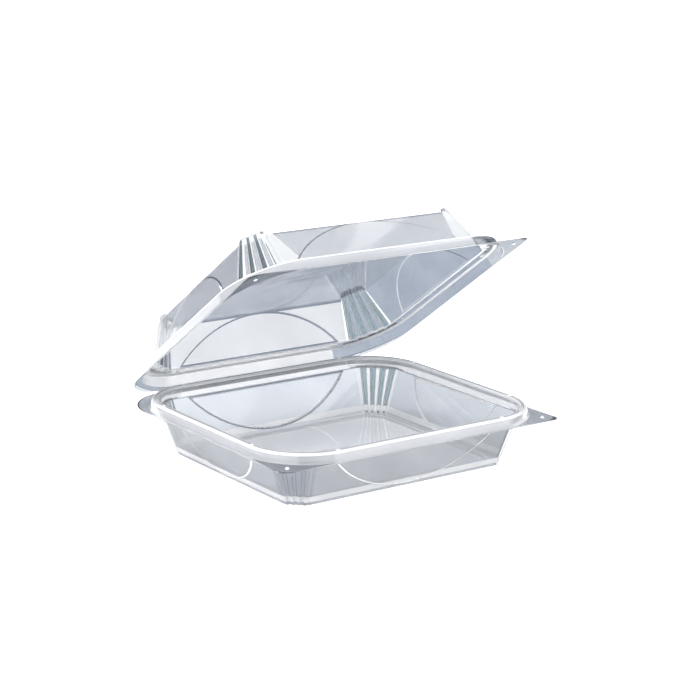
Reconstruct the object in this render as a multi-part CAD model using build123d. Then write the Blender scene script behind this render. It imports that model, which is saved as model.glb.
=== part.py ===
"""Clear hinged food clamshell: a tray and a lid thermoformed from one sheet, joined by a fold.

Millimetres, +Z up.  The origin is the centre of the ring foot that the tray stands on.
+X runs along the hinge and the hinge is at the back (+Y).  The lid is modelled shut,
then swung open about the fold.
"""
from build123d import *
import os
from math import sqrt

# ---- overall sizes -------------------------------------------------------------------
pack_width = 228.0          # flange edge to flange edge, along the hinge
pack_depth = 207.5          # front flange edge to the hinge fold
hinge_margin = 5.5          # extra flange between the rim and the fold
flange_height = 34.0        # foot to the top of the tray's flange
lid_rise = 36.9             # underside of the lid's flange to the top of its roof
lid_open_angle = 35.0       # how far the lid stands open
sheet = 0.35                # thickness of the formed sheet

# ---- flange --------------------------------------------------------------------------
flange_front_radius = 6.0   # the pull tabs are the flat corners outside the rim
flange_back_radius = 38.0
fold_gap = 0.3              # from each flange's back edge to the fold axis
closed_gap = 0.4            # between the two flanges when the pack is shut
pip_radius = 1.6            # pip on each front tab, keeps the two tabs apart
pip_height = 1.2
pip_inset = 9.0             # from both flange edges to the middle of the pip

# ---- tray rim: a hollow bead that stands up from the flange ----------------------------
rim_outer_inset = 2.6       # flange edge to the foot of the bead's outer face
rim_corner_radius = 44.0    # plan radius of the bead's outer foot
rim_height = 6.6            # bead above the flange
rim_width_at_top = 5.2
rim_draft = 2.0             # how far each side of the bead leans in over its height
rim_inner_drop = 1.0        # the bead's inner side ends this far below the flange

# ---- lid rim: a step that drops over the tray's bead ------------------------------------
rim_side_clearance = 0.9    # between the lid's step and the tray's bead
rim_top_clearance = 1.6
lid_step_width = 9.0        # flat top of the step, out to the foot of the wall

# ---- walls ---------------------------------------------------------------------------
shoulder = 0.8              # small ledge between the tray's bead and its wall
tray_wall_lean = 12.4       # inward run of the tray wall from top to foot
lid_wall_lean = 13.4        # inward run of the lid wall from step to roof
tray_column_leg = 20.0      # leg of the tray's cut corner, at the rim
tray_foot_leg = 11.0        # and at the foot
lid_column_leg = 25.0       # leg of the lid's cut corner, at the step
lid_roof_leg = 13.5         # and at the roof
flute_count = 4             # upright flutes on each cut corner
flute_margin = 0.06         # plain share at each end of a cut corner
flute_depth_ratio = 0.07    # flute depth as a share of the cut corner's length

# ---- raised circle panels on the walls ---------------------------------------------------
panel_step = 0.7                # how far a panel stands out from its wall
tray_long_panel_radius = 85.0   # front and back walls
lid_long_panel_radius = 92.0
short_panel_radius = 50.0       # side walls
tray_panel_margin = 3.0         # from the wall's foot to the tip of the circle
lid_panel_margin = 0.9          # from the roof to the tip of the circle
panel_clear = 1.2               # from the wall's wide end to the cut-off side of the circle

# ---- floor and roof ----------------------------------------------------------------------
floor_raise = 3.0           # the floor panel stands this far above the foot
foot_width = 7.5            # flat ring that the tray stands on
floor_corner_radius = 16.0
lug_rise = 4.0              # stacking lug at each corner of the roof
lug_depth = 5.0             # across the lug, from its fluted face inward

# ---- lock buttons on the rim ---------------------------------------------------------------
button_radius = 1.7
button_height = 0.6
bump_taper = 0.8            # a bump's top radius as a share of its foot

half_width = pack_width / 2
half_depth = (pack_depth - hinge_margin) / 2
fold_depth = half_depth + hinge_margin
fold_height = flange_height + closed_gap / 2
lid_base = flange_height + closed_gap
rim_top = flange_height + rim_height
rim_inner_foot = flange_height - rim_inner_drop
rim_inner_inset = rim_outer_inset + rim_draft + rim_width_at_top
rim_foot_inset = rim_inner_inset + rim_draft
tray_top_inset = rim_foot_inset + shoulder
tray_foot_inset = tray_top_inset + tray_wall_lean
lid_rim_inset = rim_outer_inset - rim_side_clearance - sheet
lid_step_top = lid_base + rim_height + rim_top_clearance + sheet
lid_step_inset = lid_rim_inset + rim_draft
lid_wall_inset = lid_step_inset + lid_step_width
lid_roof_inset = lid_wall_inset + lid_wall_lean
roof_top = lid_base + lid_rise
lug_top = roof_top + lug_rise


def flange(z):
    """The flat flange, up from height z: tight corners at the front, rounder ones at the hinge."""
    with BuildSketch(Plane.XY.offset(z)) as outline:
        with Locations((0, -half_depth)):
            Rectangle(pack_width, pack_depth - fold_gap, align=(Align.CENTER, Align.MIN))
        fillet(outline.vertices().sort_by(Axis.Y)[:2], flange_front_radius)
        fillet(outline.vertices().sort_by(Axis.Y)[-2:], flange_back_radius)
    return extrude(outline.sketch, sheet)


def rim_section(inset, z):
    """A rounded rectangle concentric with the rim, the given distance in from the flange edge."""
    radius = rim_corner_radius - (inset - rim_outer_inset)
    section = RectangleRounded(2 * (half_width - inset), 2 * (half_depth - inset), radius)
    return Plane.XY.offset(z) * section


def rim_block(low_inset, low_z, high_inset, high_z):
    """A solid between two rim sections."""
    return loft([rim_section(low_inset, low_z), rim_section(high_inset, high_z)], ruled=True)


def flute_profile():
    """One cut corner as (share of its length, depth as a share of it), from end to end."""
    pitch = (1 - 2 * flute_margin) / flute_count
    points = [(0.0, 0.0)]
    for number in range(flute_count):
        start = flute_margin + number * pitch
        points.append((start + 0.12 * pitch, 0.0))
        points.append((start + 0.28 * pitch, flute_depth_ratio))
        points.append((start + 0.72 * pitch, flute_depth_ratio))
        points.append((start + 0.88 * pitch, 0.0))
    return points + [(1.0, 0.0)]


def wall_section(inset, leg, z):
    """A rectangle with its corners cut off by a fluted face, as a flat face at height z."""
    x_half = half_width - inset
    y_half = half_depth - inset
    profile = flute_profile()
    points = []
    for x_sign, y_sign in ((1, 1), (-1, 1), (-1, -1), (1, -1)):
        corner = []
        for along, depth in profile:
            bulge = depth * leg
            corner.append((x_half - along * leg + bulge, y_half - (1 - along) * leg + bulge))
        if x_sign * y_sign < 0:
            corner.reverse()
        points += [(x_sign * x, y_sign * y) for x, y in corner]
    return Plane.XY.offset(z) * make_face(Polyline(*points, close=True))


def wall_block(low, high):
    """A solid between two wall sections, each given as (inset, leg, z)."""
    return loft([wall_section(*low), wall_section(*high)], ruled=True)


def wall_places(wide_inset, wide_z, narrow_inset, narrow_z, long_radius):
    """Planes on the four walls, origin mid-way along the narrow end, +Z out of the wall, +Y
    towards the wide end, with each wall's panel radius and slant length."""
    run = narrow_inset - wide_inset
    rise = wide_z - narrow_z
    slant = sqrt(run ** 2 + rise ** 2)
    places = []
    for x_dir, y_dir in ((0, -1), (0, 1), (-1, 0), (1, 0)):
        reach = half_depth if y_dir else half_width
        radius = long_radius if y_dir else short_panel_radius
        origin = (x_dir * (reach - narrow_inset), y_dir * (reach - narrow_inset), narrow_z)
        up_wall = Vector(x_dir * run, y_dir * run, rise).normalized()
        along = Vector(-y_dir, x_dir, 0) if rise > 0 else Vector(y_dir, -x_dir, 0)
        places.append((Plane(origin, x_dir=along, z_dir=along.cross(up_wall)), radius, slant))
    return places


def wall_panels(places, margin, shrink, low, high):
    """Circle panels on the walls, as solids from depth low to depth high off each wall."""
    below = (Align.CENTER, Align.MAX)
    panels = []
    for plane, radius, slant in places:
        with BuildSketch(plane.offset(low)) as panel:
            with Locations((0, margin + radius)):
                Circle(radius - shrink)
            with Locations((0, slant - panel_clear - shrink)):
                Rectangle(4 * radius, 4 * radius, align=below, mode=Mode.INTERSECT)
        panels.append(extrude(panel.sketch, high - low, dir=plane.z_dir))
    return panels


def button_places():
    """Middle of the rim beside each end of each corner arc."""
    middle = rim_outer_inset + rim_draft + rim_width_at_top / 2
    x_near = half_width - rim_outer_inset - rim_corner_radius
    y_near = half_depth - rim_outer_inset - rim_corner_radius
    places = []
    for x_side, y_side in ((1, 1), (-1, 1), (-1, -1), (1, -1)):
        places.append((x_side * (half_width - middle), y_side * y_near))
        places.append((x_side * x_near, y_side * (half_depth - middle)))
    return places


def bumps(places, radius, z, height):
    """Upright round bumps, slightly tapered."""
    on_base = (Align.CENTER, Align.CENTER, Align.MIN)
    bump = Cone(radius, radius * bump_taper, height, align=on_base)
    return [Location((x, y, z)) * bump for x, y in places]


tab_places = [(side * (half_width - pip_inset), -half_depth + pip_inset) for side in (-1, 1)]


def make_tray():
    """The tray: ring foot, raised floor, fluted walls, hollow bead and flange."""
    wide = (tray_top_inset, tray_column_leg, rim_inner_foot)
    narrow = (tray_foot_inset, tray_foot_leg, 0)
    skin = (tray_top_inset - sheet, rim_inner_foot, tray_foot_inset - sheet, 0)
    places = wall_places(*skin, tray_long_panel_radius)
    flange_under = flange_height - sheet
    ledge_inset = rim_foot_inset - sheet
    outside = flange(flange_under)
    outside += rim_block(rim_outer_inset, flange_under, rim_outer_inset + rim_draft, rim_top)
    outside += rim_block(ledge_inset, rim_inner_foot - sheet, ledge_inset, flange_height)
    outside += wall_block((narrow[0] - sheet, narrow[1], 0), (wide[0] - sheet, wide[1], rim_inner_foot))
    outside += wall_panels(places, tray_panel_margin, 0, -sheet / 2, panel_step)
    outside += bumps(button_places(), button_radius, rim_top - sheet, button_height + sheet)
    outside += bumps(tab_places, pip_radius, flange_under, pip_height + sheet)

    channel_inset = rim_outer_inset + sheet
    channel = rim_block(channel_inset, flange_under - sheet, channel_inset + rim_draft, rim_top - sheet)
    channel -= rim_block(ledge_inset, rim_inner_foot - sheet, rim_inner_inset - sheet, rim_top)
    inside = rim_block(rim_foot_inset, rim_inner_foot, rim_inner_inset, rim_top)
    inside += extrude(rim_section(rim_inner_inset, rim_top), 1)
    inside += wall_block((narrow[0], narrow[1], sheet), (wide[0], wide[1], rim_inner_foot))
    inside += wall_panels(places, tray_panel_margin, sheet, -2 * sheet, panel_step - sheet)
    floor_inset = tray_foot_inset + foot_width
    floor_size = (2 * (half_width - floor_inset), 2 * (half_depth - floor_inset))
    inside -= extrude(RectangleRounded(*floor_size, floor_corner_radius), floor_raise)
    under_size = [side - 2 * sheet for side in floor_size]
    under_floor = extrude(RectangleRounded(*under_size, floor_corner_radius - sheet), floor_raise - sheet)
    under_pips = bumps(tab_places, pip_radius - sheet, flange_under - sheet, pip_height + sheet)
    return outside - channel - inside - under_floor - under_pips


def make_lid():
    """The lid, shut: flange, step over the tray's bead, fluted walls, roof and corner lugs."""
    stretch = (lug_top - lid_step_top) / (roof_top - lid_step_top)
    lug_leg = lid_column_leg - (lid_column_leg - lid_roof_leg) * stretch
    wide = (lid_wall_inset, lid_column_leg, lid_step_top - sheet)
    narrow = (lid_wall_inset + lid_wall_lean * stretch, lug_leg, lug_top)
    skin = (lid_wall_inset, lid_step_top, lid_roof_inset, roof_top)
    places = wall_places(*skin, lid_long_panel_radius)
    outside = flange(lid_base)
    outside += rim_block(lid_rim_inset, lid_base, lid_step_inset, lid_step_top)
    outside += wall_block(wide, narrow)
    outside -= roof_recess(0, roof_top)
    outside += wall_panels(places, lid_panel_margin, 0, -sheet / 2, panel_step)
    outside += bumps(button_places(), button_radius + sheet, lid_step_top - sheet, button_height + sheet)
    outside += bumps(tab_places, pip_radius + 2 * sheet, lid_base, pip_height + 2 * sheet)

    inside_wide = (wide[0] + sheet, wide[1], wide[2] - sheet)
    inside = wall_block(inside_wide, (narrow[0] + sheet, narrow[1], lug_top - sheet))
    inside -= roof_recess(sheet, roof_top - sheet)
    inside += wall_panels(places, lid_panel_margin, sheet, -2 * sheet, panel_step - sheet)
    inside += rim_block(lid_rim_inset + sheet, lid_base, lid_step_inset + sheet, lid_step_top - sheet)
    inside += bumps(tab_places, pip_radius + sheet, lid_base, pip_height + sheet)
    return outside - inside


def roof_recess(offset, z):
    """What lies above the roof between the four lugs: an eight-sided block wider than the roof."""
    x_half = half_width - lid_wall_inset
    y_half = half_depth - lid_wall_inset
    roof_corner = half_width - lid_roof_inset + half_depth - lid_roof_inset - lid_roof_leg
    diagonal = roof_corner - lug_depth * sqrt(2) + offset * sqrt(2)
    x_cut = diagonal - y_half
    y_cut = diagonal - x_half
    points = [(x_half, y_cut), (x_cut, y_half), (-x_cut, y_half), (-x_half, y_cut)]
    points += [(-x, -y) for x, y in points]
    return extrude(Plane.XY.offset(z) * make_face(Polyline(*points, close=True)), 2 * lug_rise)


tray = make_tray()
lid = make_lid().rotate(Axis((0, fold_depth, fold_height), (1, 0, 0)), -lid_open_angle)

os.makedirs("parts", exist_ok=True)
for name, shape in (("base_tray", tray), ("lid", lid)):
    shape.label = name
    export_step(shape, f"parts/{name}.step")
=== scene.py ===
"""Clear hinged clamshell pack: the two formed sheets and their fold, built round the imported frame.

Sizes are in millimetres and turned into metres as each mesh is made.  Each sheet is a set of
closed rings lofted from the flange edge in to the floor or roof, given a thickness at the end.
"""
from math import cos, hypot, pi, radians, sin, sqrt, tan

import bmesh
import bpy
from mathutils import Matrix, Vector


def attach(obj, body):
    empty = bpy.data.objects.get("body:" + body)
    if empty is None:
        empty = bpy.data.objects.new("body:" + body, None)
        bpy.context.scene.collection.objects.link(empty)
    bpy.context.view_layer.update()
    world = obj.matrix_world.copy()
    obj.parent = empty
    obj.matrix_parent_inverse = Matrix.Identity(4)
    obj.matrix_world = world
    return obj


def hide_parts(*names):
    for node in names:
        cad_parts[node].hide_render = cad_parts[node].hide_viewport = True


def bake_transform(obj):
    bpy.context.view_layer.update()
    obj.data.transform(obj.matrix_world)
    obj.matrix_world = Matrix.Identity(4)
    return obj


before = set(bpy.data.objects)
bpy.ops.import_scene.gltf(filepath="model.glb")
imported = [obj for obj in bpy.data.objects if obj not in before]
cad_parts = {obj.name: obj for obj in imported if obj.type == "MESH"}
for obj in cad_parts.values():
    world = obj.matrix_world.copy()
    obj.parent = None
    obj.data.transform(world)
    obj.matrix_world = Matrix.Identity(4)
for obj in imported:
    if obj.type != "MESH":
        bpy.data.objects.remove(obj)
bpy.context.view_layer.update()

MM = 0.001

# ---- sizes, in millimetres --------------------------------------------------------------
SHEET = 0.35                 # thickness of the formed sheet
HALF_WIDTH = 114.0           # of the formed shape
HALF_DEPTH = 101.0
FLANGE_TOP = 34.0            # top of the tray's flange
LID_BASE = 34.4              # underside of the lid's flange, shut
FOLD_Y = 106.5               # axis of the living hinge
FOLD_Z = 34.2
FOLD_GAP = 0.3               # each flange stops this short of the axis
FOLD_HALF_LENGTH = 74.0
WEB_HALF_THICKNESS = 0.1
OPEN_ANGLE = 35.0
FRONT_RADIUS = 6.0           # flange corners
BACK_RADIUS = 38.0
RIM_INSET = 2.6              # outer foot of the tray's rim, in from the flange edge
CORNER_RADIUS = 44.0         # of the rim's outer foot
BEAD_TOP = 40.6              # top of the tray's hollow rim
LEDGE = 33.0                 # small ledge inside the rim, where the walls begin
FLOOR_TOP = 3.0              # floor inside the ring foot
STEP_INSET = 12.35           # inner edge of the lid's step
STEP_TOP = 42.95             # top of the lid's step, shut
ROOF_INSET = 25.75
ROOF_TOP = 71.3
LUG_RISE = 4.0               # corner lugs above the roof
LUG_LEAN = (ROOF_INSET - STEP_INSET) * LUG_RISE / (ROOF_TOP - STEP_TOP)
BUTTON_INSET = 7.2           # middle of the rim, where the lock buttons sit
PIP_INSET = 9.0
BUTTON = (1.7, 0.55)         # radius and height of a lock button
PIP = (1.6, 1.1)             # and of the pip on a front tab
SIDE_CIRCLE = 50.0           # radius of the circles on the left and right walls

# wide and narrow end of each sheet's walls; leg, flute depth and radius are the corners'
TRAY_WALL = (dict(inset=12.6, z=LEDGE, leg=21.0, flute=2.4, radius=29.0),
             dict(inset=25.0, z=SHEET, leg=12.0, flute=1.4, radius=17.0))
LID_WALL = (dict(inset=STEP_INSET, z=STEP_TOP, leg=25.0, flute=2.8, radius=34.0, lift=0.0, lean=0.0),
            dict(inset=ROOF_INSET, z=ROOF_TOP, leg=13.5, flute=1.6, radius=20.0, lift=1.0, lean=LUG_LEAN))

# ---- mesh density -------------------------------------------------------------------------
LONG_STEPS = 76              # along the front and back
SHORT_STEPS = 70             # along the sides
BEND_STEPS = 4               # in each rounded end of a cut corner
FLUTE_STEPS = 48             # across the fluted face
CORNER_STEPS = FLUTE_STEPS + 2 * BEND_STEPS
FLANGE_STEPS = 5             # across the flange
FOLD_STEPS = 60              # along the living hinge
FLUTES = 4
FLUTE_TRIM = 0.03            # share of the run of flutes that is cut off at each end
BEND_REACH = 1.0             # how far the rounding runs from each edge of a cut corner
BEND_SHARE = 0.45            # most of a section's run that a bend takes up
MERGE_DISTANCE = 0.002
FINE_EDGE = 0.75             # longest edge beside a raised detail
REFINE_ROUNDS = 4

# ---- looks --------------------------------------------------------------------------------
# Only "sheet" is the plastic's own tint. Every other look is a lit or shaded copy of it, whose tint,
# share let through and index of refraction are set per region to paint light and shade. Lighter copies
# paint light and highlights on the lid's front and left walls, the tray floor, the rims, edges, the
# wall's foot, the pale flutes and the flanks beside the lid's columns. "crease" is near-white and nearly
# opaque, a painted glint. Darker copies paint shade on the tray's side and back walls, the tabs, the
# lid's right wall and roof, the dark rim, the dark line round each circle and the beds of the flutes. A
# lower index of refraction dims the reflections of some darker copies, also as painted shade.
# share let through, darkest tint, lightest tint, and index of refraction where it isn't the usual
TINTS = {
    "sheet": (0.88, (0.50, 0.515, 0.54), (0.56, 0.57, 0.59)),
    "front": (0.84, (0.84, 0.85, 0.865), (0.89, 0.895, 0.905)),
    "side": (0.88, (0.43, 0.455, 0.495), (0.49, 0.515, 0.55)),
    "left": (0.86, (0.86, 0.875, 0.905), (0.91, 0.92, 0.945)),
    "shade": (0.90, (0.23, 0.26, 0.31), (0.29, 0.32, 0.37), 1.32),
    "rim": (0.62, (0.79, 0.80, 0.825), (0.85, 0.86, 0.88)),
    "floor": (0.94, (0.85, 0.86, 0.885), (0.89, 0.90, 0.92)),
    "crease": (0.12, (0.96, 0.965, 0.97), (0.99, 0.99, 0.99)),
    "line": (0.90, (0.13, 0.15, 0.19), (0.19, 0.21, 0.25)),
    "flute": (0.88, (0.16, 0.22, 0.25), (0.22, 0.28, 0.31)),
    # lighter flutes at the tray's front-right corner: painted light
    "lit_flute": (0.75, (0.76, 0.78, 0.81), (0.82, 0.84, 0.86)),
    "tab": (0.85, (0.36, 0.385, 0.42), (0.44, 0.465, 0.50)),
    # very dark lid tabs with dimmed reflections: painted shade
    "painted_shade_lid_tab": (0.92, (0.13, 0.155, 0.19), (0.19, 0.215, 0.25), 1.25),
    "edge": (0.60, (0.84, 0.85, 0.87), (0.89, 0.90, 0.91)),
    "roof": (0.90, (0.25, 0.275, 0.32), (0.31, 0.335, 0.38), 1.5),
    # painted shade on the lid's right and back-right rim, with dimmed reflections
    "painted_shade_rim": (0.90, (0.24, 0.27, 0.32), (0.30, 0.33, 0.38), 1.35),
    # near-white painted highlight on the flanks beside the lid's columns
    "painted_highlight": (0.55, (0.93, 0.935, 0.94), (0.96, 0.965, 0.97)),
    "foot": (0.55, (0.90, 0.905, 0.92), (0.95, 0.955, 0.96)),
}
LOOKS = list(TINTS)

# line round the circles on the front, back, left and right wall: look of its inner and outer
# half, and half its width.  The line paints the highlight and shade of each circle's step: lighter
# halves are a painted glint, darker halves a painted shade line.
TRAY_LINES = (("crease", "sheet", 0.8), ("crease", "line", 0.9), ("crease", "side", 0.8),
              ("crease", "crease", 0.9))
LID_LINES = (("front", "line", 0.9), ("line", "line", 0.7), ("left", "line", 0.9),
             ("side", "shade", 0.7))

# look of each part of a sheet, or of that part on one side or corner; a part that isn't listed
# has the look of its own name.  Picking a lighter or darker look by side and corner paints light
# and shade onto the sheet.
TRAY_LOOKS = {
    "wall": "sheet", "wall left": "side", "wall right": "side", "wall back": "side",
    "flank front_left": "side", "flank front_right": "line",
    "flank back_left": "line", "flank back_right": "sheet",
    "channel": "flute", "channel front_left": "side", "channel front_right": "lit_flute",
    "groove": "crease", "groove front_left": "sheet",
    "ridge": "sheet", "ridge front_left": "side",
    "rim back": "sheet", "ledge": "crease", "ledge right": "line",
    "flange": "tab", "brow": "sheet", "foot": "foot",
}
LID_LOOKS = {
    "wall": "sheet", "wall front": "front", "wall left": "left", "wall right": "shade",
    "flank": "front", "flank back_left": "line", "flank front_right": "line",
    "channel": "flute", "groove": "crease",
    "ridge": "front", "ridge back_left": "shade", "ridge back_right": "shade",
    # the lid's right side and corners take darker looks: painted shade
    "rim right": "painted_shade_rim", "rim back_right": "painted_shade_rim", "rim front_right": "tab",
    "flange": "painted_shade_lid_tab", "flange back_left": "shade", "flange back_right": "shade",
    "brow": "edge", "brow front": "side", "brow back": "line", "brow right": "shade",
    "lug": "front", "lug front": "roof", "lug back": "roof", "lug left": "roof", "lug right": "roof",
}


def smooth(value):
    """Eased step from 0 to 1."""
    value = min(1.0, max(0.0, value))
    return value * value * (3 - 2 * value)


def mix(a, b, share):
    return a + (b - a) * share


# ---- plan outlines ------------------------------------------------------------------------
def flute(share):
    """Depth of the flutes across a cut corner, as a share of their full depth."""
    wave = 0.5 - 0.5 * cos(2 * pi * FLUTES * mix(FLUTE_TRIM, 1 - FLUTE_TRIM, share))
    return smooth(1.6 * wave - 0.3)          # steeper sides, flat beds and crests


def arc_corner(radius, share):
    """Point on a rounded corner: distances back from the corner along its two sides."""
    angle = share * pi / 2
    return radius * (1 - sin(angle)), radius * (1 - cos(angle))


def cut_corner(leg, depth, share):
    """Point on a cut and fluted corner with softened edges, as two distances from the corner."""
    reach = min(BEND_REACH, 0.4 * leg)
    inner = reach / sqrt(2)
    bend = BEND_STEPS / CORNER_STEPS
    if share < bend or share > 1 - bend:
        local = share / bend if share < bend else (1 - share) / bend
        start, middle, end = (leg + reach, 0.0), (leg, 0.0), (leg - inner, inner)
        first = [mix(a, b, local) for a, b in zip(start, middle)]
        second = [mix(a, b, local) for a, b in zip(middle, end)]
        back, off = mix(first[0], second[0], local), mix(first[1], second[1], local)
        return (back, off) if share < bend else (off, back)
    local = (share - bend) / (1 - 2 * bend)
    back = mix(leg - inner, inner, local)
    off = leg - back
    bulge = depth * flute(local) / sqrt(2)
    return back - bulge, off - bulge


def corner_point(spec, share):
    """Blend of the round and the cut corner for one ring."""
    a = arc_corner(spec["radius"], share) if spec["cut"] < 1 else (0.0, 0.0)
    b = cut_corner(spec["leg"], spec["flute"], share) if spec["cut"] > 0 else (0.0, 0.0)
    return mix(a[0], b[0], spec["cut"]), mix(a[1], b[1], spec["cut"])


def plateau(share):
    """1 across a corner's face, easing to 0 at its two ends."""
    edge = min(share, 1 - share)
    return smooth(edge / (1.4 * BEND_STEPS / CORNER_STEPS))


def outline(spec):
    """One closed ring as (x, y, corner share), counter-clockwise from the front right corner."""
    inset = spec["inset"]
    corners = []
    for x_sign, y_sign in ((1, -1), (1, 1), (-1, 1), (-1, -1)):
        y_edge = (spec.get("back", HALF_DEPTH) if y_sign > 0 else HALF_DEPTH) - inset
        local = dict(spec)
        if "radii" in spec:
            local["radius"] = spec["radii"][1 if y_sign > 0 else 0]
        points = []
        for i in range(CORNER_STEPS + 1):
            share = i / CORNER_STEPS
            back_off, side_off = corner_point(local, share)
            lean = spec.get("lean", 0.0) * plateau(share)
            if x_sign * y_sign < 0:
                x, y = HALF_WIDTH - inset - back_off, y_edge - side_off
            else:
                x, y = HALF_WIDTH - inset - side_off, y_edge - back_off
            x, y = x - lean, y - lean
            points.append((x_sign * x, y_sign * y, plateau(share)))
        corners.append(points)
    ring = []
    for number, points in enumerate(corners):
        ring += points
        following = corners[(number + 1) % 4][0]
        last = points[-1]
        steps = SHORT_STEPS if number % 2 == 0 else LONG_STEPS
        for i in range(1, steps):
            share = i / steps
            ring.append((mix(last[0], following[0], share), mix(last[1], following[1], share), 0.0))
    return ring


# ---- section of a sheet -------------------------------------------------------------------
def run_length(start, end):
    return hypot(end["inset"] - start["inset"], end["z"] - start["z"])


def bend_at(before, here, after):
    """How far a control point's bend reaches along its two runs, and the directions of both."""
    a = Vector((before["inset"] - here["inset"], before["z"] - here["z"]))
    b = Vector((after["inset"] - here["inset"], after["z"] - here["z"]))
    reach = min(here["bend"] / tan(a.angle(b) / 2), BEND_SHARE * a.length, BEND_SHARE * b.length)
    return reach, a.normalized(), b.normalized()


def section(controls):
    """Rings along a section given as control points, with rounded bends and filled-in runs.

    A control point holds the outline's values at its height.  It may also say how many steps lead
    up to it and which part they are, and the radius, steps and part of its own bend.
    """
    stations = [dict(at=0.0)]
    creases = []                 # start, end and part of each bend that is a part of its own
    start = 0.0
    for i in range(1, len(controls)):
        before, here = controls[i - 1], controls[i]
        length = run_length(before, here)
        reach = 0.0
        if "bend" in here:
            reach, back, ahead = bend_at(before, here, controls[i + 1])
        steps = here.get("steps", 1)
        for k in range(1, steps + 1):
            distance = mix(start, length - reach, k / steps)
            stations.append(dict(at=i - 1 + distance / length))
        start = reach
        if not reach:
            continue
        next_length = run_length(here, controls[i + 1])
        for k in range(1, here["bend_steps"] + 1):
            share = k / here["bend_steps"]
            if share <= 0.5:
                at = i - reach / length * (1 - 2 * share)
            else:
                at = i + reach / next_length * (2 * share - 1)
            offset = back * (reach * (1 - share) ** 2) + ahead * (reach * share ** 2)
            stations.append(dict(at=at, inset=here["inset"] + offset.x, z=here["z"] + offset.y))
        if "crease" in here:
            creases.append((i - reach / length, i + reach / next_length, here["crease"]))
    keys = ("inset", "z", "radius", "leg", "flute", "cut", "lift", "lean")
    rings = []
    for station in stations:
        i = min(int(station["at"]), len(controls) - 2)
        share = station["at"] - i
        ring = {key: mix(controls[i].get(key, 0.0), controls[i + 1].get(key, 0.0), share) for key in keys}
        rings.append(dict(ring, **station))
    for ring, following in zip(rings, rings[1:]):
        middle = (ring["at"] + following["at"]) / 2
        ring["part"] = controls[min(int(middle), len(controls) - 2) + 1].get("part", "wall")
        for low, high, part in creases:
            if low < middle < high:
                ring["part"] = part
    rings[-1]["part"] = controls[-1]["part"]
    return rings


def ring_places():
    """For each step round a ring: which side or corner it is on, and its share across the corner."""
    places = []
    for corner, side, steps in (("front_right", "right", SHORT_STEPS), ("back_right", "back", LONG_STEPS),
                                ("back_left", "left", SHORT_STEPS), ("front_left", "front", LONG_STEPS)):
        places += [(corner, (i + 0.5) / CORNER_STEPS) for i in range(CORNER_STEPS)]
        places += [(side, None)] * steps
    return places


def face_look(part, place, share, looks):
    """Look of a face, from its part of the section, its place round it and the sheet's own rules."""
    # The flange's sides, away from its corners, take the lighter "edge" look, a painted highlight.
    if part == "flange" and share is None:
        return "edge"
    if part == "wall" and share is not None:
        bend = BEND_STEPS / CORNER_STEPS
        local = (share - bend) / (1 - 2 * bend)
        depth = flute(local) if 0 < local < 1 else None
        # Beds of the flutes mostly take a darker look, painted shade, and their sides the near-white
        # crease look, a painted glint.
        part = ("flank" if depth is None else "channel" if depth > 0.8
                else "groove" if depth > 0.2 else "ridge")
    return looks.get(part + " " + place, looks.get(part, part))


def wall_point(wall, share):
    """Control point on a wall, part of the way from its wide end to its narrow one."""
    wide, narrow = wall
    return dict({key: mix(wide[key], narrow[key], share) for key in wide}, cut=1.0)


def flange_rings(foot):
    """Rings from the trimmed flange edge in to the foot of the rim."""
    edge = dict(inset=0.0, radii=(FRONT_RADIUS, BACK_RADIUS), back=FOLD_Y - FOLD_GAP, cut=0.0)
    outer, inner = outline(edge), outline(foot)
    rings = []
    for k in range(FLANGE_STEPS):
        share = k / FLANGE_STEPS
        rings.append([(mix(a[0], b[0], share), mix(a[1], b[1], share), foot["z"])
                      for a, b in zip(outer, inner)])
    return rings


def sheet_rings(controls):
    """All rings of a sheet as points, and the part that starts at each of them."""
    stations = section(controls)
    rings = flange_rings(stations[0])
    for station in stations:
        lift = LUG_RISE * station["lift"]
        rings.append([(x, y, station["z"] + lift * rise) for x, y, rise in outline(station)])
    return rings, ["flange"] * FLANGE_STEPS + [station["part"] for station in stations]


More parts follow.
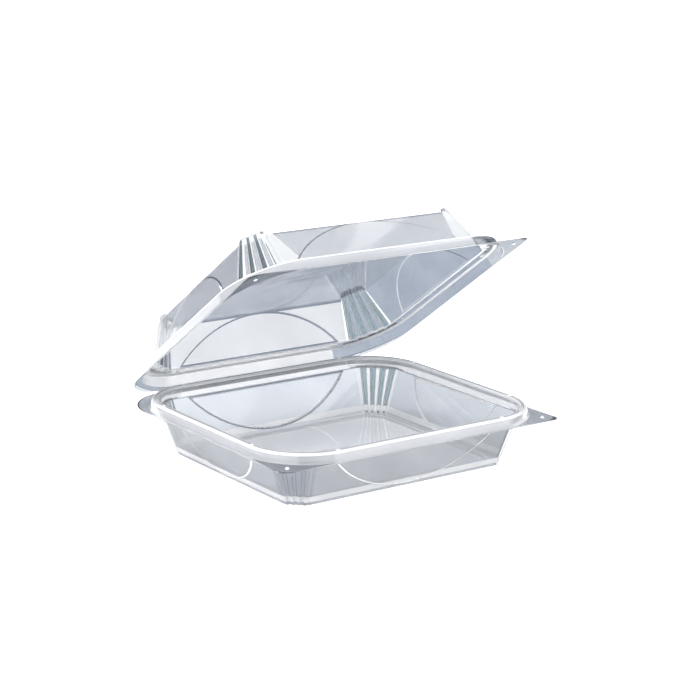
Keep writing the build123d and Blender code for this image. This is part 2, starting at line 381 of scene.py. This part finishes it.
# ---- raised details -----------------------------------------------------------------------
class Panel:
    """A raised circle on one wall, cut off near the wall's wide end."""

    OFF_WALL = 0.06          # farthest that a point of the wall lies from its plane
    END_MARGIN = 1.2         # from the cut-off edge to the wall's wide end
    STEP_WIDTH = 0.9
    LINE_MIDDLE = 0.1        # of the line round it, outside the edge

    def __init__(self, x_dir, y_dir, wall, radius, margin, step, line):
        wide, narrow = wall
        reach = HALF_DEPTH if y_dir else HALF_WIDTH
        ends = [Vector((x_dir * (reach - end["inset"]), y_dir * (reach - end["inset"]), end["z"]))
                for end in (narrow, wide)]
        self.origin = ends[0]
        self.slant = (ends[1] - ends[0]).length
        self.up = (ends[1] - ends[0]).normalized()
        self.along = Vector((-y_dir, x_dir, 0))
        normal = self.along.cross(self.up).normalized()
        self.normal = normal if normal.dot(Vector((x_dir, y_dir, 0))) > 0 else -normal
        self.radius, self.margin, self.step, self.line = radius, margin, step, line

    def distance(self, point):
        """Distance outside the panel's edge, or None off the wall's plane."""
        offset = point - self.origin
        if abs(offset.dot(self.normal)) > self.OFF_WALL:
            return None
        a, b = offset.dot(self.along), offset.dot(self.up)
        round_edge = hypot(a, b - self.margin - self.radius) - self.radius
        return max(round_edge, b - (self.slant - self.END_MARGIN))

    def move(self, point):
        distance = self.distance(point)
        if distance is None:
            return None
        return self.normal * (self.step * smooth(0.5 - distance / self.STEP_WIDTH))

    def near(self, point, length):
        distance = self.distance(point)
        return distance is not None and abs(distance) < 1.0 + 0.5 * length

    # The line round the edge takes the looks given for its wall: painted highlight or painted shade on
    # each half.
    def on_line(self, point):
        distance = self.distance(point)
        return distance is not None and abs(distance - self.LINE_MIDDLE) < self.line[2]

    def line_look(self, point):
        return self.line[0 if self.distance(point) < self.LINE_MIDDLE else 1]


class Bump:
    """A low round bump that stands up from a level face."""

    OFF_FACE = 0.8           # farthest that a point of the face lies from its height
    FAR = 99.0
    SLOPE = 0.6              # share of the radius that its side takes

    def __init__(self, x, y, z, radius, height):
        self.middle, self.z, self.radius, self.height = Vector((x, y)), z, radius, height

    def distance(self, point):
        """Distance outside the bump's foot."""
        if abs(point.z - self.z) > self.OFF_FACE:
            return self.FAR
        return (point.xy - self.middle).length - self.radius

    def move(self, point):
        share = 1 - (self.distance(point) + self.radius) / self.radius
        return Vector((0, 0, self.height * smooth(share / self.SLOPE))) if share > 0 else None

    def near(self, point, length):
        return self.distance(point) < 0.3 + 0.5 * length

    def on_line(self, point):
        return self.distance(point) < 0.0

    # The foot of the bump takes the near-white crease look, a painted glint.
    def line_look(self, point):
        return "crease"


class Flank:
    """The end of the lid's front wall beside a column, flat, with a near-white look that is a painted
    highlight.
    """

    OFF_WALL = 1.5
    WIDTHS = (15.0, 5.0)     # at the wall's wide and narrow end

    def __init__(self, x_dir, wall):
        self.x_dir = x_dir
        self.wide, self.narrow = wall

    def distance(self, point):
        """Distance from the flank's inner edge towards the wall's middle, or None off the wall."""
        wide, narrow = self.wide, self.narrow
        share = (point.z - narrow["z"]) / (wide["z"] - narrow["z"])
        inset = mix(narrow["inset"], wide["inset"], share)
        if abs(point.y + HALF_DEPTH - inset) > self.OFF_WALL or not 0 < share < 1:
            return None
        leg = mix(narrow["leg"], wide["leg"], share)
        width = mix(self.WIDTHS[1], self.WIDTHS[0], share)
        return HALF_WIDTH - inset - leg - width - self.x_dir * point.x

    def move(self, point):
        return None

    def near(self, point, length):
        distance = self.distance(point)
        return distance is not None and abs(distance) < 0.3 + 0.5 * length

    def on_line(self, point):
        distance = self.distance(point)
        return distance is not None and distance < 0

    def line_look(self, point):
        return "painted_highlight"


def panels(wall, long_radius, margin, step, lines):
    """A circle on each of the four walls: front, back, left and right."""
    walls = ((0, -1, long_radius), (0, 1, long_radius), (-1, 0, SIDE_CIRCLE), (1, 0, SIDE_CIRCLE))
    return [Panel(x, y, wall, radius, margin, step, line)
            for (x, y, radius), line in zip(walls, lines)]


def rim_bumps(rim_z, flange_z):
    """Lock buttons beside the corner arcs of the rim, and a pip on each front tab."""
    x_near = HALF_WIDTH - RIM_INSET - CORNER_RADIUS
    y_near = HALF_DEPTH - RIM_INSET - CORNER_RADIUS
    details = []
    for x_side, y_side in ((1, 1), (-1, 1), (-1, -1), (1, -1)):
        details.append(Bump(x_side * (HALF_WIDTH - BUTTON_INSET), y_side * y_near, rim_z, *BUTTON))
        details.append(Bump(x_side * x_near, y_side * (HALF_DEPTH - BUTTON_INSET), rim_z, *BUTTON))
    for side in (-1, 1):
        details.append(Bump(side * (HALF_WIDTH - PIP_INSET), PIP_INSET - HALF_DEPTH, flange_z, *PIP))
    return details


# ---- making a sheet -------------------------------------------------------------------------
def loft(rings, parts, looks):
    """The sheet's outer skin from flange to floor or roof, with a look on each face."""
    mesh = bmesh.new()
    rows = [[mesh.verts.new(point) for point in ring] for ring in rings]
    places = ring_places()
    count = len(places)
    for outer, inner, part in zip(rows, rows[1:], parts):
        for i in range(count):
            j = (i + 1) % count
            face = mesh.faces.new((outer[i], outer[j], inner[j], inner[i]))
            face.material_index = LOOKS.index(face_look(part, *places[i], looks))
    mesh.faces.new(rows[-1]).material_index = LOOKS.index(parts[-1])
    bmesh.ops.remove_doubles(mesh, verts=mesh.verts, dist=MERGE_DISTANCE)
    return mesh


def refine(mesh, details):
    """Splits long edges near each raised detail, so that its outline is crisp."""
    for _ in range(REFINE_ROUNDS):
        edges = []
        for edge in mesh.edges:
            length = edge.calc_length()
            if length < FINE_EDGE:
                continue
            middle = (edge.verts[0].co + edge.verts[1].co) / 2
            if any(detail.near(middle, length) for detail in details):
                edges.append(edge)
        if not edges:
            return
        bmesh.ops.subdivide_edges(mesh, edges=edges, cuts=1, use_grid_fill=True)


def raise_details(mesh, details):
    """Paints each detail's line with its look, a painted highlight or painted shade, then moves the
    detail's vertices out of the skin.
    """
    for face in mesh.faces:
        middle = face.calc_center_median()
        detail = next((detail for detail in details if detail.on_line(middle)), None)
        if detail:
            face.material_index = LOOKS.index(detail.line_look(middle))
    moves = []
    for vertex in mesh.verts:
        for detail in details:
            move = detail.move(vertex.co)
            if move is not None and move.length > 0:
                moves.append((vertex, move))
                break
    for vertex, move in moves:
        vertex.co += move


def thicken(mesh):
    """Adds the sheet's other side and closes its trimmed edge."""
    mesh.normal_update()
    skin = list(mesh.faces)
    partner = {}
    for vertex in list(mesh.verts):
        partner[vertex] = mesh.verts.new(vertex.co - vertex.normal * SHEET)
    edge_loop = [edge for edge in mesh.edges if edge.is_boundary]
    for face in skin:
        under = mesh.faces.new([partner[v] for v in reversed(face.verts)])
        under.material_index = face.material_index
    for edge in edge_loop:
        loop = edge.link_loops[0]
        a, b = loop.vert, loop.link_loop_next.vert
        mesh.faces.new((b, a, partner[a], partner[b]))
    for face in mesh.faces:
        face.smooth = True
    mesh.normal_update()


def link_piece(name, data):
    """A new object in the scene with this mesh, light or camera data."""
    piece = bpy.data.objects.new(name, data)
    bpy.context.scene.collection.objects.link(piece)
    return piece


def placed_piece(name, mesh, placement):
    """Turns a mesh in millimetres into a piece in metres."""
    mesh.transform(placement)
    data = bpy.data.meshes.new(name)
    mesh.to_mesh(data)
    mesh.free()
    return link_piece(name, data)


def sheet_piece(name, controls, details, looks, placement):
    """One formed sheet, from its section, raised details and looks."""
    mesh = loft(*sheet_rings(controls), looks)
    refine(mesh, details)
    raise_details(mesh, details)
    thicken(mesh)
    return placed_piece(name, mesh, placement)


# ---- tray -----------------------------------------------------------------------------------
# The bends at the top edges of the bead and the ring round the floor take the near-white "crease" look, a
# painted glint, and the low strip of the wall the lighter "foot" look, a painted highlight.
TRAY_SECTION = [
    dict(inset=2.2, z=FLANGE_TOP, radius=44.4),
    dict(inset=RIM_INSET, z=FLANGE_TOP, radius=CORNER_RADIUS, bend=0.8, bend_steps=3, part="rim"),
    dict(inset=4.6, z=BEAD_TOP, radius=42.0, bend=2.0, bend_steps=6, steps=2, part="rim",
         crease="crease"),
    dict(inset=9.8, z=BEAD_TOP, radius=36.8, bend=2.0, bend_steps=6, steps=2, part="rim",
         crease="crease"),
    dict(inset=11.8, z=LEDGE, radius=29.0, bend=0.5, bend_steps=2, steps=3, part="rim"),
    dict(wall_point(TRAY_WALL, 0), bend=0.5, bend_steps=2, part="ledge"),
    dict(wall_point(TRAY_WALL, 0.80), steps=14),
    dict(wall_point(TRAY_WALL, 0.92), steps=2, part="foot"),
    dict(wall_point(TRAY_WALL, 1), bend=2.0, bend_steps=4, steps=2, crease="brow"),
    dict(inset=32.2, z=SHEET, radius=16.5, bend=0.8, bend_steps=3, steps=3, part="floor"),
    dict(inset=33.2, z=FLOOR_TOP, radius=15.5, bend=0.8, bend_steps=3, part="crease"),
    dict(inset=36.0, z=FLOOR_TOP, radius=13.0, part="floor"),
]
shut = Matrix.Scale(MM, 4)
tray_details = panels(TRAY_WALL, 85.0, 3.0, 0.9, TRAY_LINES) + rim_bumps(BEAD_TOP, FLANGE_TOP)
tray = sheet_piece("tray_sheet", TRAY_SECTION, tray_details, TRAY_LOOKS, shut)


# ---- lid ------------------------------------------------------------------------------------
LID_TOP = LID_BASE + SHEET   # top of the lid's flange
LUG = dict(z=ROOF_TOP, cut=1.0, bend=0.6, bend_steps=2, part="lug")
# The bends at both edges of the step take the near-white "crease" look, a painted glint, and the bend at
# the roof's edge the "brow" looks, lighter or darker by side: painted light and shade.
LID_SECTION = [
    dict(inset=1.0, z=LID_TOP, radius=45.6),
    dict(inset=1.35, z=LID_TOP, radius=45.25, bend=0.8, bend_steps=3, part="rim"),
    dict(inset=3.35, z=STEP_TOP, radius=43.25, bend=1.8, bend_steps=5, steps=3, part="rim",
         crease="crease"),
    dict(inset=9.5, z=STEP_TOP, radius=37.0, steps=2, part="rim"),
    dict(wall_point(LID_WALL, 0), bend=0.9, bend_steps=3, steps=2, part="rim", crease="crease"),
    dict(wall_point(LID_WALL, 0.95), steps=18),
    dict(wall_point(LID_WALL, 1), bend=1.4, bend_steps=4, steps=2, part="brow", crease="brow"),
    dict(LUG, inset=28.6, leg=11.5, flute=0.9, radius=18.0, lift=1.0, lean=LUG_LEAN, steps=2),
    dict(LUG, inset=30.4, leg=11.0, radius=17.0, steps=3),
    dict(inset=34.0, z=ROOF_TOP, cut=1.0, leg=11.0, radius=15.0, part="roof"),
]
fold = Vector((0, FOLD_Y, FOLD_Z))
opened = (shut @ Matrix.Translation(fold)
          @ Matrix.Rotation(-radians(OPEN_ANGLE), 4, "X") @ Matrix.Translation(-fold))
lid_details = panels(LID_WALL, 92.0, 0.9, 0.9, LID_LINES) + rim_bumps(STEP_TOP, LID_TOP)
lid_details += [Flank(side, LID_WALL) for side in (-1, 1)]
lid = sheet_piece("lid_sheet", LID_SECTION, lid_details, LID_LOOKS, opened)


# ---- fold -------------------------------------------------------------------------------------
def fold_strip():
    """The living hinge: a thin creased web from one flange to the other."""
    reach = 0.9                                # from the axis onto each flange
    profile = [(-reach, FLANGE_TOP - FOLD_Z - 0.5 * SHEET), (-0.4, -0.36), (-0.16, -0.26),
               (-0.06, 0.0), (-0.06, 0.22), (-0.1, 0.42)]
    turn = radians(OPEN_ANGLE)
    end = Vector((-reach, LID_BASE - FOLD_Z + 0.5 * SHEET))
    profile.append((end.x * cos(turn) + end.y * sin(turn), -end.x * sin(turn) + end.y * cos(turn)))
    mesh = bmesh.new()
    rows = []
    for k in range(FOLD_STEPS + 1):
        x = mix(-FOLD_HALF_LENGTH, FOLD_HALF_LENGTH, k / FOLD_STEPS)
        ring = []
        for points in (profile, profile[::-1]):
            for i, (y, z) in enumerate(points):
                before, after = points[max(i - 1, 0)], points[min(i + 1, len(points) - 1)]
                along = Vector((after[0] - before[0], after[1] - before[1])).normalized()
                off = along * WEB_HALF_THICKNESS
                ring.append(mesh.verts.new((x, FOLD_Y + y + off.y, FOLD_Z + z - off.x)))
        rows.append(ring)
    count = len(rows[0])
    for a, b in zip(rows, rows[1:]):
        for i in range(count):
            j = (i + 1) % count
            mesh.faces.new((a[i], a[j], b[j], b[i]))
    mesh.faces.new(rows[0][::-1])
    mesh.faces.new(rows[-1])
    bmesh.ops.recalc_face_normals(mesh, faces=mesh.faces)
    return placed_piece("fold_web", mesh, shut)


web = fold_strip()


# ---- material -----------------------------------------------------------------------------------
def noise_node(nodes, scale, detail):
    node = nodes.new("ShaderNodeTexNoise")
    node.inputs["Scale"].default_value = scale
    node.inputs["Detail"].default_value = detail
    return node


def ramp_node(nodes, stops):
    """Colour ramp through stops of position, red, green and blue."""
    node = nodes.new("ShaderNodeValToRGB")
    elements = node.color_ramp.elements
    while len(elements) < len(stops):
        elements.new(0.5)
    for element, (at, *colour) in zip(elements, stops):
        element.position = at
        element.color = (*colour, 1)
    return node


def clear_plastic(name, transmission, low, high, refraction=1.6):
    """Clear formed sheet: a blue-grey tint between low and high, soft flow waves and a fine uneven gloss.
    For every look but "sheet" the tint, the share let through and the refraction paint light or shade.
    """
    material = bpy.data.materials.new(name)
    material.use_nodes = True
    nodes, links = material.node_tree.nodes, material.node_tree.links
    shader = nodes["Principled BSDF"]
    shader.inputs["Transmission Weight"].default_value = transmission
    shader.inputs["IOR"].default_value = refraction
    place = nodes.new("ShaderNodeTexCoord")
    tint_noise = noise_node(nodes, 28.0, 3.0)
    tint = ramp_node(nodes, ((0.35, *low), (0.70, *high)))
    gloss_noise = noise_node(nodes, 90.0, 4.0)
    gloss = nodes.new("ShaderNodeMapRange")
    gloss.inputs["To Min"].default_value = 0.02
    gloss.inputs["To Max"].default_value = 0.09
    waves = noise_node(nodes, 40.0, 2.0)
    bump = nodes.new("ShaderNodeBump")
    bump.inputs["Strength"].default_value = 0.15
    bump.inputs["Distance"].default_value = 0.0006
    for node in (tint_noise, gloss_noise, waves):
        links.new(place.outputs["Object"], node.inputs["Vector"])
    links.new(tint_noise.outputs["Fac"], tint.inputs["Fac"])
    links.new(tint.outputs["Color"], shader.inputs["Base Color"])
    links.new(gloss_noise.outputs["Fac"], gloss.inputs["Value"])
    links.new(gloss.outputs["Result"], shader.inputs["Roughness"])
    links.new(waves.outputs["Fac"], bump.inputs["Height"])
    links.new(bump.outputs["Normal"], shader.inputs["Normal"])
    return material


# one material for each look: the plastic's own tint, and lit and shaded copies of it that paint light and
# shade
plastics = [clear_plastic("clear_" + look, *TINTS[look]) for look in LOOKS]
for piece in (tray, lid, web):
    for plastic in plastics:
        piece.data.materials.append(plastic)
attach(tray, "tray")
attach(lid, "lid")
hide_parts("base_tray")
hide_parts("lid")
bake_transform(web)


# ---- floor, light and camera, in metres -----------------------------------------------------------
def floor():
    """Plain pale floor that glows a little, as a light table does."""
    reach, drop = 12.0, 0.0002
    corners = [(-reach, -reach), (reach, -reach), (reach, reach), (-reach, reach)]
    data = bpy.data.meshes.new("floor")
    data.from_pydata([(x, y, -drop) for x, y in corners], [], [(0, 1, 2, 3)])
    material = bpy.data.materials.new("studio_floor")
    material.use_nodes = True
    nodes, links = material.node_tree.nodes, material.node_tree.links
    shader = nodes["Principled BSDF"]
    shader.inputs["Roughness"].default_value = 0.6
    shader.inputs["Specular IOR Level"].default_value = 0.2
    shader.inputs["Emission Color"].default_value = (1, 1, 1, 1)
    shader.inputs["Emission Strength"].default_value = 0.6
    speckle = noise_node(nodes, 6.0, 2.0)
    tone = ramp_node(nodes, ((0.0, 0.93, 0.93, 0.93), (1.0, 0.95, 0.95, 0.95)))
    links.new(speckle.outputs["Fac"], tone.inputs["Fac"])
    links.new(tone.outputs["Color"], shader.inputs["Base Color"])
    data.materials.append(material)
    link_piece("floor", data)


def studio_world():
    """Bright overhead, dimmer towards the horizon, so that glossy edges read."""
    world = bpy.data.worlds.new("studio")
    bpy.context.scene.world = world
    world.use_nodes = True
    nodes, links = world.node_tree.nodes, world.node_tree.links
    back = nodes["Background"]
    back.inputs["Strength"].default_value = 1.95
    place = nodes.new("ShaderNodeTexCoord")
    parts = nodes.new("ShaderNodeSeparateXYZ")
    sky = ramp_node(nodes, ((0.0, 0.05, 0.055, 0.065), (0.3, 0.07, 0.075, 0.085),
                            (0.5, 0.16, 0.17, 0.18), (0.68, 0.7, 0.71, 0.72), (1.0, 1.0, 1.0, 1.0)))
    links.new(place.outputs["Generated"], parts.inputs["Vector"])
    links.new(parts.outputs["Z"], sky.inputs["Fac"])
    links.new(sky.outputs["Color"], back.inputs["Color"])


def soft_light(name, place, size, power):
    """Rectangular lamp turned to the middle of the pack; its power is in watts."""
    middle = Vector((0, 0, 0.07))
    data = bpy.data.lights.new(name, "AREA")
    data.shape = "RECTANGLE"
    data.size, data.size_y = size
    data.energy = power
    lamp = link_piece(name, data)
    lamp.location = place
    lamp.rotation_euler = (middle - Vector(place)).to_track_quat("-Z", "Y").to_euler()


def camera():
    """The photo's own view, fitted to the edges of the pack."""
    azimuth, elevation, roll = radians(-35.9), radians(14.33), radians(0.70)
    distance, lens = 1.4655, 109.63
    target = Vector((0.01117, 0.0030, 0.07426))
    back = Vector((sin(azimuth) * cos(elevation), -cos(azimuth) * cos(elevation), sin(elevation)))
    right = (-back).cross(Vector((0, 0, 1))).normalized()
    up = right.cross(-back)
    turned = cos(roll) * right + sin(roll) * up
    upright = cos(roll) * up - sin(roll) * right
    data = bpy.data.cameras.new("camera")
    data.lens, data.sensor_width = lens, 36.0
    view = link_piece("camera", data)
    view.matrix_world = Matrix.Translation(target + back * distance) @ Matrix(
        (turned, upright, back)).transposed().to_4x4()
    bpy.context.scene.camera = view


floor()
studio_world()
soft_light("back_strip", (-0.35, 0.95, 1.0), (0.5, 0.15), 8)
soft_light("key", (1.0, -1.45, 0.65), (1.0, 0.8), 4)
soft_light("side", (-1.7, -0.7, 0.8), (1.7, 1.3), 13)
camera()

# many layers of clear sheet lie behind one another, so light needs many bounces
scene = bpy.context.scene
scene.view_settings.view_transform = "Standard"
scene.cycles.max_bounces = 32
scene.cycles.transmission_bounces = 28
scene.cycles.glossy_bounces = 10
scene.cycles.transparent_max_bounces = 24
scene.cycles.caustics_reflective = True
scene.cycles.caustics_refractive = True
scene.cycles.blur_glossy = 0.2
